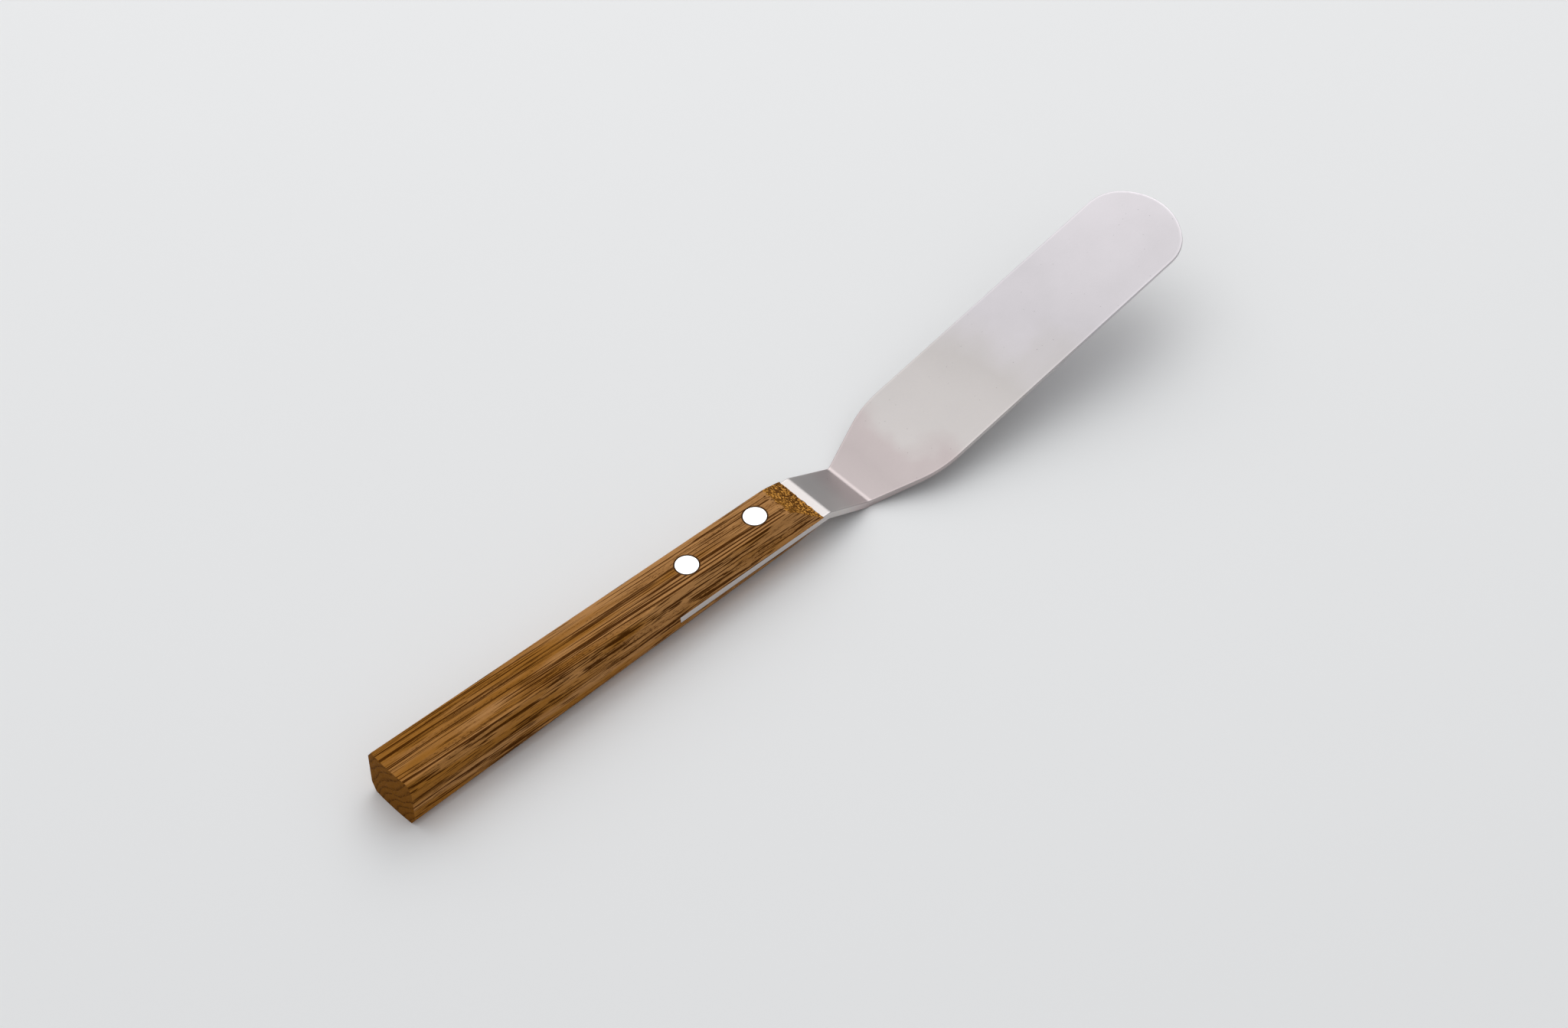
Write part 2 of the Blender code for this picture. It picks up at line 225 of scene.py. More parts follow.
def score(shape, axis, places):
    """Draw lines across the whole shape, so that it can bend or take detail there."""
    normal = Vector([1.0 if index == axis else 0.0 for index in range(3)])
    for place in places:
        bmesh.ops.bisect_plane(
            shape, geom=whole(shape), dist=1e-7, plane_co=normal * place, plane_no=normal,
        )


def spaced(start, end, step):
    """Places between two ends, about a step apart and without the ends."""
    count = max(1, round((end - start) / step))
    return [start + (end - start) * index / count for index in range(1, count)]


def soften(shape, edges, width, segments):
    """Round edges off."""
    bmesh.ops.bevel(
        shape, geom=edges, offset=width, offset_type="OFFSET", segments=segments,
        profile=0.5, affect="EDGES", material=-1, clamp_overlap=True,
    )


def sharp_edges(shape, degrees):
    """Edges whose two faces turn by more than an angle."""
    return [e for e in shape.edges if e.calc_face_angle(0.0) > math.radians(degrees)]


def cut_with(piece, cutter):
    """Cut one piece by another and throw the cutter away."""
    modifier = piece.modifiers.new("cut", "BOOLEAN")
    modifier.operation = "DIFFERENCE"
    modifier.solver = "EXACT"
    modifier.object = cutter
    graph = bpy.context.evaluated_depsgraph_get()
    mesh = bpy.data.meshes.new_from_object(piece.evaluated_get(graph))
    mesh.name = piece.name
    piece.modifiers.clear()
    piece.data = mesh
    bpy.data.objects.remove(cutter, do_unlink=True)


def arc(centre, radius, start, end, steps):
    """Points round part of a circle."""
    turns = [start + (end - start) * step / steps for step in range(steps + 1)]
    return [(centre[0] + radius * math.cos(a), centre[1] + radius * math.sin(a)) for a in turns]


def turned(profile, x, y, steps):
    """Spin (radius, height) points, from axis to axis, about an upright line at x, y."""
    shape = bmesh.new()
    points = [shape.verts.new((radius, 0.0, height)) for radius, height in profile]
    edges = [shape.edges.new(pair) for pair in zip(points, points[1:])]
    bmesh.ops.spin(
        shape, geom=points + edges, cent=(0, 0, 0), axis=(0, 0, 1),
        angle=math.tau, steps=steps, use_merge=True, use_duplicate=False,
    )
    bmesh.ops.remove_doubles(shape, verts=shape.verts, dist=1e-7)
    bmesh.ops.translate(shape, vec=(x, y, 0.0), verts=shape.verts)
    bmesh.ops.recalc_face_normals(shape, faces=shape.faces)
    return shape


def finish_piece(piece, material, node):
    """Shade, paint and hand a piece over to the frame."""
    piece.data.materials.clear()
    piece.data.materials.append(material)
    piece.data.shade_smooth()
    piece.data.set_sharp_from_angle(angle=math.radians(SHARP_ANGLE))
    normals = piece.modifiers.new("flat faces stay flat", "WEIGHTED_NORMAL")
    normals.keep_sharp = True
    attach(piece, "root")
    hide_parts(node)


# ---------------------------------------------------------------- rivet shape

def head_of(place):
    """The middle line of a rivet and the radius of its head."""
    low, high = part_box(place + "_rivet_tube")
    return (low + high) / 2, (high.x - low.x) / 2


def tube_profile(s, head, low, high):
    """The headed tube as (radius, height), from its face round to the end of its bore."""
    step = high.z - s.head_height
    bore_top = high.z - s.bore_depth
    rim = (head - s.head_round, high.z - s.head_round)
    return [
        (0, high.z), *arc(rim, s.head_round, QUARTER, 0.0, steps=6), (head, step),
        (s.tube_radius, step), (s.tube_radius, low.z), (s.bore_radius, low.z),
        (s.bore_radius, bore_top), (0, bore_top),
    ]


def pin_profile(s, head, low, high):
    """The headed pin as (radius, height), from its point down to its face."""
    step = low.z + s.head_height
    rim = (head - s.head_round, low.z + s.head_round)
    return [
        (0, high.z), (s.pin_radius - s.head_round, high.z),
        (s.pin_radius, high.z - s.head_round), (s.pin_radius, step), (head, step),
        *arc(rim, s.head_round, 0.0, -QUARTER, steps=6), (0, low.z),
    ]


# ---------------------------------------------------------------- handle shape

def oak_section(shape, s, x):
    """The handle's eight-cornered section, as a face."""
    share = x / s.top_length
    flat = (s.top_at_butt + (s.top_at_front - s.top_at_butt) * share) / 2
    drop = s.drop_at_butt + (s.drop_at_front - s.drop_at_butt) * share
    side = HANDLE_HIGH.y
    butt_depth = TOP_Z - HANDLE_LOW.z
    floor = -(butt_depth + (s.front_depth - butt_depth) * x / s.nose_reach)
    right = [(flat, 0.0), (side, -drop), (side, floor + drop), (flat, floor)]
    left = [(-y, z) for y, z in reversed(right)]
    return shape.faces.new([shape.verts.new((x, y, z)) for y, z in right + left])


def shape_oak(s, blade):
    """The shaped handle before its kerf and holes, with its butt at x 0 and its top at z 0."""
    shape = bmesh.new()
    butt = oak_section(shape, s, 0.0)
    front = oak_section(shape, s, s.nose_reach)
    bmesh.ops.bridge_loops(shape, edges=butt.edges[:] + front.edges[:])
    bmesh.ops.recalc_face_normals(shape, faces=shape.faces)

    slope = s.nose_reach - s.top_length
    tang_floor = blade.tang_level + blade.steel
    saw(shape, Vector((s.nose_reach, 0, -blade.tang_level)), Vector((blade.tang_level, 0, slope)))
    saw(shape, Vector((s.nose_reach, 0, -tang_floor)), Vector((blade.tang_level, 0, -slope)))
    brow = [
        e for e in sharp_edges(shape, degrees=15)
        if all(abs(v.co.x - s.top_length) < MM and abs(v.co.z) < 1e-5 for v in e.verts)
    ]
    soften(shape, brow, s.brow_round, segments=6)
    corners = [
        e for e in sharp_edges(shape, degrees=18)
        if min(v.co.x for v in e.verts) > s.top_length + 0.2 * MM
        and abs(e.verts[0].co.z - e.verts[1].co.z) > MM
    ]
    soften(shape, corners, s.nose_round, segments=4)

    flat = s.top_at_butt / 2
    on_top = Vector((s.facet_along, flat, 0))
    on_butt = Vector((0, flat - s.facet_across, 0))
    on_side = Vector((0, HANDLE_HIGH.y, -s.drop_at_butt))
    outward = (on_butt - on_top).cross(on_side - on_top)
    saw(shape, on_top, outward if outward.x < 0 else -outward)
    soften(shape, sharp_edges(shape, degrees=18), s.arris, segments=3)
    return shape


def clamped(value):
    return min(1.0, max(0.0, value))


def refine_oak(piece, s):
    """Roughen the sawn nose, crown the butt and store how exposed each point is."""
    shape = bmesh.new()
    shape.from_mesh(piece.data)
    brow_x = BUTT_X + s.top_length
    score(shape, 0, spaced(BUTT_X, brow_x, step=2 * MM))
    score(shape, 0, spaced(brow_x - MM, HANDLE_HIGH.x, step=0.4 * MM))
    score(shape, 1, spaced(HANDLE_LOW.y, HANDLE_HIGH.y, step=0.5 * MM))
    score(shape, 2, spaced(HANDLE_LOW.z, TOP_Z, step=0.7 * MM))
    shape.normal_update()
    edge_wear_and_highlight = shape.verts.layers.float.new("edge_wear_and_highlight")
    cross_cut_and_shade = shape.verts.layers.float.new("cross_cut_and_shade")
    for vert in shape.verts:
        facing = vert.normal
        on_nose = facing.x > 0.2
        # Edge sharpness; the oak's material lightens these edges, partly as wear and partly as a
        # painted highlight.
        vert[edge_wear_and_highlight] = clamped((vert.calc_shell_factor() - 1.0) * 12)
        if on_nose or abs(facing.z) > 0.7:
            vert[cross_cut_and_shade] = clamped(0.5 + (vert.co.x - brow_x) / (3 * MM))
        # The corner facet cuts obliquely across the grain and is marked as end grain, so it takes
        # the butt's darker brown; that darkness is partly painted shade for the shadow the facet
        # lies in.
        if vert.co.x < BUTT_X + s.facet_along + 0.2 * MM and facing.x < -0.3:
            vert[cross_cut_and_shade] = 1.0
        if vert.co.x > brow_x - MM and on_nose:
            spot = vert.co / MM
            rough = noise.noise(spot * 1.1) + 0.6 * noise.noise(spot * 2.7)
            depth = s.torn_grain * min(1.0, facing.x * 2)
            vert.co.x -= max(0.0, 0.6 - rough) * depth
        if vert.co.x < BUTT_X + MM:
            away = (vert.co.y / HANDLE_HIGH.y) ** 2
            vert.co.x += s.crown * away * (1 - (vert.co.x - BUTT_X) / MM)
    shape.to_mesh(piece.data)
    shape.free()


def drill_seat(piece, rivets, place):
    """Drill the stepped hole that one rivet sits in."""
    middle, head = head_of(place)
    pin_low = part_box(place + "_rivet_pin")[0]
    seat = head + rivets.seat_gap
    through = rivets.tube_radius + rivets.seat_gap
    top_step = TOP_Z - rivets.head_height - rivets.seat_gap
    floor_step = pin_low.z + rivets.head_height + rivets.seat_gap
    profile = [
        (0, TOP_Z + MM), (seat, TOP_Z + MM), (seat, top_step), (through, top_step),
        (through, floor_step), (seat, floor_step), (seat, pin_low.z - MM), (0, pin_low.z - MM),
    ]
    cut_with(piece, new_piece("seat_drill", turned(profile, middle.x, middle.y, rivets.steps)))


def cut_kerf(piece, s, blade):
    """Saw the slot for the tang."""
    start = BLADE_LOW.x - s.kerf_clearance
    end = HANDLE_HIGH.x + 10 * MM
    size = Vector((end - start, 30 * MM, blade.steel + 2 * s.kerf_clearance))
    slot = bmesh.new()
    bmesh.ops.create_cube(slot, size=1.0)
    bmesh.ops.scale(slot, vec=size, verts=slot.verts)
    level = TOP_Z - blade.tang_level - blade.steel / 2
    bmesh.ops.translate(slot, vec=((start + end) / 2, 0, level), verts=slot.verts)
    cut_with(piece, new_piece("kerf", slot))


# ---------------------------------------------------------------- steel shape

def side_runs(s):
    """The steel seen from the side, as straight runs and bends: (length, turn)."""
    riser = math.atan2(s.heel_drop - s.tang_level, s.heel_bend - s.upper_bend)
    fall = math.hypot(s.heel_bend - s.upper_bend, s.heel_drop - s.tang_level)
    upper_tangent = s.upper_radius * math.tan(riser / 2)
    heel_turn = riser + s.pitch
    heel_tangent = s.heel_radius * math.tan(heel_turn / 2)
    tang = s.upper_bend - upper_tangent - (BLADE_LOW.x - BUTT_X)
    return [
        (tang, 0.0),
        (s.upper_radius * riser, -riser),
        (fall - upper_tangent - heel_tangent, 0.0),
        (s.heel_radius * heel_turn, heel_turn),
        (s.blade_length, 0.0),
    ], heel_tangent


def walk(runs, start, distance):
    """Point and heading of the steel's top side at a distance from the tang's end."""
    point, heading = start.copy(), 0.0
    for run, turn in runs:
        step = min(distance, run)
        if turn:
            radius = run / turn
            ahead = heading + step / radius
            rise = math.cos(heading) - math.cos(ahead)
            point += Vector((math.sin(ahead) - math.sin(heading), 0, rise)) * radius
            heading = ahead
        else:
            point += Vector((math.cos(heading), 0, math.sin(heading))) * step
        distance -= step
    return point, heading


def steel_outline(s, upper_bend, heel):
    """One side of the flat strip as (distance, half width), from tang to tip."""
    half = BLADE_HIGH.y
    side = [(0.0, s.tang_half_width), (upper_bend, s.bend_half_width), (heel, s.heel_half_width)]
    centre_y = half - s.shoulder_radius
    widened = centre_y + s.shoulder_radius * math.cos(s.flare) - s.heel_half_width
    centre_x = heel + widened / math.tan(s.flare) + s.shoulder_radius * math.sin(s.flare)
    shoulder = (centre_x, centre_y)
    side += arc(shoulder, s.shoulder_radius, QUARTER + s.flare, QUARTER, steps=20)

    tip_x = heel + s.blade_length - s.tip_radius
    corner_y = half - s.corner_radius
    corner_x = tip_x + math.sqrt((s.tip_radius - s.corner_radius) ** 2 - corner_y ** 2)
    meet = math.atan2(corner_y, corner_x - tip_x)
    side += arc((corner_x, corner_y), s.corner_radius, QUARTER, meet, steps=20)
    side += arc((tip_x, 0.0), s.tip_radius, meet, 0.0, steps=32)[1:]
    return side


def steel_thickness(s, distance, heel):
    """The steel is ground thinner from the heel to the shoulder and on to the tip."""
    shoulder = heel + (BLADE_HIGH.y - s.heel_half_width) / math.tan(s.flare)
    tip = heel + s.blade_length
    if distance <= heel:
        return s.steel
    if distance <= shoulder:
        return s.steel + (s.at_shoulder - s.steel) * (distance - heel) / (shoulder - heel)
    return s.at_shoulder + (s.at_tip - s.at_shoulder) * (distance - shoulder) / (tip - shoulder)


def shape_steel(s):
    """Cut the flat strip, soften its edges, then bend and taper it."""
    runs, heel_tangent = side_runs(s)
    stops = [sum(run for run, _ in runs[:count]) for count in range(len(runs))]
    heel = stops[4] - heel_tangent
    side = steel_outline(s, stops[1], heel)
    outline = [(x, -y) for x, y in side] + [(x, y) for x, y in reversed(side[:-1])]

    shape = bmesh.new()
    edge_wear_and_highlight = shape.verts.layers.float.new("edge_wear_and_highlight")
    shape.faces.new([shape.verts.new((x, y, 0.0)) for x, y in outline])
    grown = bmesh.ops.extrude_face_region(shape, geom=shape.faces[:])
    under = [v for v in grown["geom"] if isinstance(v, bmesh.types.BMVert)]
    bmesh.ops.translate(shape, vec=(0, 0, -s.steel), verts=under)
    bmesh.ops.recalc_face_normals(shape, faces=shape.faces)
    flats = [face for face in shape.faces if abs(face.normal.z) > 0.5]
    bmesh.ops.inset_region(
        shape, faces=flats, thickness=s.rim, use_boundary=True, use_even_offset=True,
    )
    # The rim band outside the inset is brightened in the blade's material as a painted highlight.
    inner = {vert for face in flats for vert in face.verts}
    for vert in shape.verts:
        vert[edge_wear_and_highlight] = 0.0 if vert in inner else 1.0
    soften(shape, sharp_edges(shape, degrees=60), s.edge_round, segments=3)

    score(shape, 0, spaced(0.0, stops[1], step=3 * MM))
    for first in (1, 3):
        score(shape, 0, spaced(stops[first], stops[first + 1], step=0.12 * MM))
        score(shape, 0, (stops[first], stops[first + 1]))
    score(shape, 0, spaced(stops[4], heel + s.blade_length, step=1.5 * MM))
    score(shape, 1, spaced(-BLADE_HIGH.y, BLADE_HIGH.y, step=1.5 * MM))

    start = Vector((BLADE_LOW.x, 0, TOP_Z - s.tang_level))
    for vert in shape.verts:
        distance = vert.co.x
        point, heading = walk(runs, start, distance)
        up = Vector((-math.sin(heading), 0, math.cos(heading)))
        share = vert.co.z / s.steel
        across = Vector((0, vert.co.y, 0))
        vert.co = point + across + up * steel_thickness(s, distance, heel) * share
    bmesh.ops.recalc_face_normals(shape, faces=shape.faces)
    return shape


def punch_hole(piece, s, rivets, place):
    """Punch the hole in the tang that one rivet passes through."""
    middle, _ = head_of(place)
    radius = rivets.tube_radius + rivets.seat_gap
    top, floor = TOP_Z - s.tang_level + MM, TOP_Z - s.tang_level - s.steel - MM
    profile = [(0, top), (radius, top), (radius, floor), (0, floor)]
    cut_with(piece, new_piece("punch", turned(profile, middle.x, middle.y, rivets.steps)))


# ---------------------------------------------------------------- shading helpers

def fill_inputs(tree, node, values):
    """Link each input to the socket it is given, or set it to the plain value."""
    for key, value in values.items():
        if isinstance(value, bpy.types.NodeSocket):
            tree.links.new(value, node.inputs[key])
        else:
            node.inputs[key].default_value = value


def add_node(tree, kind, values=None, **settings):
    """Add a node, set its properties, and fill its inputs."""
    node = tree.nodes.new(kind)
    for key, value in settings.items():
        setattr(node, key, value)
    fill_inputs(tree, node, values or {})
    return node


def math_node(tree, operation, first, second=0.0):
    values = {0: first, 1: second}
    return add_node(tree, "ShaderNodeMath", values, operation=operation).outputs[0]


def plus(tree, first, second):
    return math_node(tree, "ADD", first, second)


def minus(tree, first, second):
    return math_node(tree, "SUBTRACT", first, second)


def times(tree, first, second):
    return math_node(tree, "MULTIPLY", first, second)


def ramped(tree, value, start, gain):
    """A value that is start at 0 and gains as the input grows."""
    return plus(tree, start, times(tree, value, gain))


def band(tree, value, low, high):
    """Smooth step from 0 at low up to 1 at high."""
    values = {"Value": value, "From Min": low, "From Max": high}
    node = add_node(tree, "ShaderNodeMapRange", values, interpolation_type="SMOOTHSTEP")
    return node.outputs["Result"]


def fade(tree, value, low, high):
    """Smooth step from 1 at low down to 0 at high."""
    return minus(tree, 1.0, band(tree, value, low, high))


def length_of(tree, vector):
    return add_node(tree, "ShaderNodeVectorMath", {0: vector}, operation="LENGTH").outputs["Value"]


def scaled(tree, tone, factor):
    """A colour or a vector made larger or smaller all over."""
    node = add_node(tree, "ShaderNodeVectorMath", {0: tone, 3: factor}, operation="SCALE")
    return node.outputs["Vector"]


def mix_colour(tree, share, first, second):
    """Blend two colours. The node's colour sockets are 6 and 7, and 2 for its result."""
    values = {0: share, 6: first, 7: second}
    return add_node(tree, "ShaderNodeMix", values, data_type="RGBA").outputs[2]


def scaled_tone(tone, factor):
    return [part * factor for part in tone]


def opaque(rgb):
    return (*rgb, 1.0)


def stretched(tree, vector, scale, location=(0, 0, 0), rotation=(0, 0, 0)):
    values = {"Vector": vector, "Scale": scale, "Location": location, "Rotation": rotation}
    return add_node(tree, "ShaderNodeMapping", values).outputs["Vector"]


def millimetres(tree, rotation=(0, 0, 0)):
    """A point's place on its piece, in millimetres."""
    place = add_node(tree, "ShaderNodeTexCoord").outputs["Object"]
    return stretched(tree, place, (1 / MM, 1 / MM, 1 / MM), rotation=rotation)


def split(tree, vector):
    return add_node(tree, "ShaderNodeSeparateXYZ", {"Vector": vector}).outputs


def cloud(tree, vector, scale=1.0, detail=2.0, roughness=0.5):
    values = {"Vector": vector, "Scale": scale, "Detail": detail, "Roughness": roughness}
    return add_node(tree, "ShaderNodeTexNoise", values).outputs["Fac"]


def cells(tree, vector, scale=1.0, feature="F1"):
    values = {"Vector": vector, "Scale": scale}
    return add_node(tree, "ShaderNodeTexVoronoi", values, feature=feature).outputs


def stored(tree, name):
    """A value that the mesh holds at each of its points."""
    return add_node(tree, "ShaderNodeAttribute", attribute_name=name).outputs["Fac"]


def new_group(name, values):
    """A node group that takes a place and some named values. Returns it and its inputs."""
    group = bpy.data.node_groups.new(name, "ShaderNodeTree")
    group.interface.new_socket(name="Vector", in_out="INPUT", socket_type="NodeSocketVector")
    for label, value in values.items():
        socket = group.interface.new_socket(
            name=label, in_out="INPUT", socket_type="NodeSocketFloat")
        socket.default_value = value
    return group, group.nodes.new("NodeGroupInput").outputs


def finish_group(group, results):
    """Give a node group its named results."""
    for label in results:
        group.interface.new_socket(name=label, in_out="OUTPUT", socket_type="NodeSocketFloat")
    fill_inputs(group, group.nodes.new("NodeGroupOutput"), results)
    return group


def shared_group(name, build):
    """The node group of that name, built the first time that it is asked for."""
    return bpy.data.node_groups.get(name) or build()


def use_group(tree, group, values):
    node = tree.nodes.new("ShaderNodeGroup")
    node.node_tree = group
    fill_inputs(tree, node, values)
    return node.outputs


def new_material(name):
    material = bpy.data.materials.new(name)
    material.use_nodes = True
    return material, material.node_tree, material.node_tree.nodes["Principled BSDF"]


def coat(tree, shader, tone, rough, height, strength, depth):
    """Give a shader its colour, its roughness and its relief, depth metres deep."""
    tree.links.new(tone, shader.inputs["Base Color"])
    tree.links.new(rough, shader.inputs["Roughness"])
    values = {"Strength": strength, "Distance": depth, "Height": height}
    bump = add_node(tree, "ShaderNodeBump", values)
    tree.links.new(bump.outputs["Normal"], shader.inputs["Normal"])


# ---------------------------------------------------------------- shared finishes

def metal_wear_group():
    """Clouds, fine polishing lines and specks, as on any worked steel."""
    group, given = new_group(
        "metal_wear", {"Cloud Size": 0.1, "Line Contrast": 0.5, "Speck Amount": 0.5})
    place = given["Vector"]
    clouds = cloud(group, place, given["Cloud Size"], 3.0, 0.55)
    along = stretched(group, place, (0.5, 7.0, 7.0), rotation=(0, 0, 0.06))
    fine = cloud(group, along, 1.0, 3.0, 0.6)
    lines = times(group, minus(group, fine, 0.5), given["Line Contrast"])

    # Only a few cells hold a speck, at their middle.
    dots = cells(group, place, 0.62)
    picks = add_node(group, "ShaderNodeSeparateColor", {"Color": dots["Color"]}).outputs[0]
    spot = fade(group, dots["Distance"], 0.02, 0.10)
    spot = times(group, spot, band(group, picks, 0.62, 0.66))
    specks = times(group, spot, given["Speck Amount"])
    return finish_group(group, {
        "Cloud": clouds, "Lines": lines, "Specks": specks,
        "Height": minus(group, lines, specks)})


def oak_figure_group():
    """Vessel lines, pores and fibres in the solid, in millimetres, with the grain along X."""
    group, given = new_group("oak_figure", {"Crowding": 0.3})
    place = given["Vector"]

    # Vessel lines gather in some places and thin out in others.
    gather = cloud(group, stretched(group, place, (0.010, 0.42, 0.42)), detail=1.0)
    crowd = times(group, minus(group, gather, 0.5), given["Crowding"])
    lines = 0.0
    for scale, shift, start, depth in (
        ((0.013, 1.75, 1.75), (0, 0, 0), 0.582, 1.0),
        ((0.028, 2.5, 2.5), (7, 3, 1), 0.585, 1.0),
        ((0.075, 3.6, 3.6), (3, 8, 5), 0.600, 0.8),
    ):
        grain = cloud(group, stretched(group, place, scale, shift), roughness=0.45)
        line = band(group, plus(group, grain, crowd), start, start + 0.045)
        lines = math_node(group, "MAXIMUM", lines, times(group, line, depth))
    fibre = cloud(group, stretched(group, place, (0.25, 8.0, 8.0)), 1.0, 3.0, 0.65)
    lines = times(group, lines, band(group, fibre, 0.20, 0.42))

    # Pores are short dashes, crowded into stippled bands of early wood.
    early = cloud(group, stretched(group, place, (0.020, 0.6, 0.6), (4, 2, 6)))
    early = band(group, early, 0.50, 0.66)
    pores = cells(group, stretched(group, place, (0.75, 5.2, 5.2)))["Distance"]
    pores = times(group, fade(group, pores, 0.18, 0.36), ramped(group, early, 0.15, 0.85))
    patches = cloud(group, stretched(group, place, (0.03, 0.30, 0.30), (3, 1, 2)))

    # Curls are where a saw across the grain tears the vessels open.
    swirl = add_node(group, "ShaderNodeTexNoise", {"Vector": place, "Scale": 0.9, "Detail": 2.0})
    shift = scaled(group, swirl.outputs["Color"], 1.6)
    bent = add_node(group, "ShaderNodeVectorMath", {0: place, 1: shift}, operation="ADD")
    torn = cells(group, bent.outputs["Vector"], 0.92, "DISTANCE_TO_EDGE")["Distance"]

    # Rings are dotted arcs about a pith outside the handle, seen where the grain is cut across.
    across = stretched(group, place, (0.0, 1.0, 1.0), location=PITH)
    uneven = times(group, cloud(group, place, 0.12, 1.0), 5.0)
    turns = math_node(group, "DIVIDE", plus(group, length_of(group, across), uneven), RING_STEP)
    arcs = fade(group, math_node(group, "FRACT", turns), 0.05, 0.55)
    dots = cells(group, stretched(group, place, (0.2, 2.6, 2.6)))["Distance"]
    return finish_group(group, {
        "Streaks": math_node(group, "MAXIMUM", pores, lines),
        "Early Wood": early, "Fibre": fibre, "Patches": patches,
        "Curls": fade(group, torn, 0.07, 0.22),
        "Rings": times(group, arcs, fade(group, dots, 0.40, 0.72))})


# ---------------------------------------------------------------- materials

def oak_material(colours, figure, seats):
    material, tree, shader = new_material("oiled_oak")
    plain = millimetres(tree)
    place = stretched(tree, plain, (1, 1, 1), rotation=(0, 0, math.radians(GRAIN_SLANT)))
    wood = use_group(tree, figure, {"Vector": place, "Crowding": 0.22})
    east = split(tree, plain)["X"]
    golden, early, dark = (opaque(c) for c in (colours.golden, colours.early, colours.streak))

    # The wood between the lines turns from golden at the butt to tan at the front.
    drift = times(tree, plus(tree, east, 62.0), 0.0022)
    patch = band(tree, plus(tree, wood["Patches"], drift), 0.30, 0.60)
    light = mix_colour(tree, patch, golden, opaque(colours.tan))
    light = scaled(tree, light, ramped(tree, wood["Fibre"], 0.72, 0.7))
    side = mix_colour(tree, times(tree, wood["Early Wood"], 0.3), light, early)
    side = mix_colour(tree, times(tree, wood["Streaks"], 0.95), side, dark)

    # The sawn nose is torn, and the butt was sanded, so it is smoother and browner; on the corner
    # facet this brown is partly painted shade.
    raw = band(tree, east, -20.0, 0.0)
    torn = times(tree, wood["Curls"], ramped(tree, raw, 0.12, 0.83))
    rings = times(tree, wood["Rings"], ramped(tree, raw, 0.8, -0.8))
    torn = math_node(tree, "MAXIMUM", torn, rings)
    sawn = mix_colour(tree, times(tree, wood["Fibre"], 0.5), opaque(colours.end_grain), golden)
    sanded_and_shaded = mix_colour(tree, wood["Fibre"], golden, early)
    end = mix_colour(tree, torn, mix_colour(tree, raw, sanded_and_shaded, sawn), dark)

    # The end grain takes over with a ragged border.
    ragged = times(tree, minus(tree, cloud(tree, place, 0.8, 3.0), 0.5), 0.9)
    cross_cut_and_shade = band(tree, plus(tree, stored(tree, "cross_cut_and_shade"), ragged), 0.42, 0.56)
    surface = mix_colour(tree, cross_cut_and_shade, side, end)

    # Painted shade: the wood is darkened in a thin ring right against each head, where the seam
    # between head and wood lies in shade.
    for middle, radius in seats:
        centred = stretched(tree, plain, (1, 1, 0), location=(-middle.x / MM, -middle.y / MM, 0))
        edge = radius / MM
        rim = fade(tree, length_of(tree, centred), edge + 0.05, edge + 0.28)
        surface = mix_colour(tree, times(tree, rim, 0.9), surface, dark)
    # Edges are lighter tan, partly wear and partly a painted highlight along the rounded arrises.
    worn = times(tree, stored(tree, "edge_wear_and_highlight"), 0.12)
    surface = mix_colour(tree, worn, surface, opaque(colours.tan))

    rough = plus(tree, ramped(tree, wood["Streaks"], 0.46, 0.25), times(tree, cross_cut_and_shade, 0.12))
    open_end = times(tree, times(tree, torn, cross_cut_and_shade), 2.5)
    open_grain = math_node(tree, "MAXIMUM", wood["Streaks"], open_end)
    height = minus(tree, times(tree, wood["Fibre"], 0.25), open_grain)
    coat(tree, shader, surface, rough, height, 0.6, 0.1 * MM)
    shader.inputs["Specular IOR Level"].default_value = 0.05
    shader.inputs["IOR"].default_value = 1.2
    return material


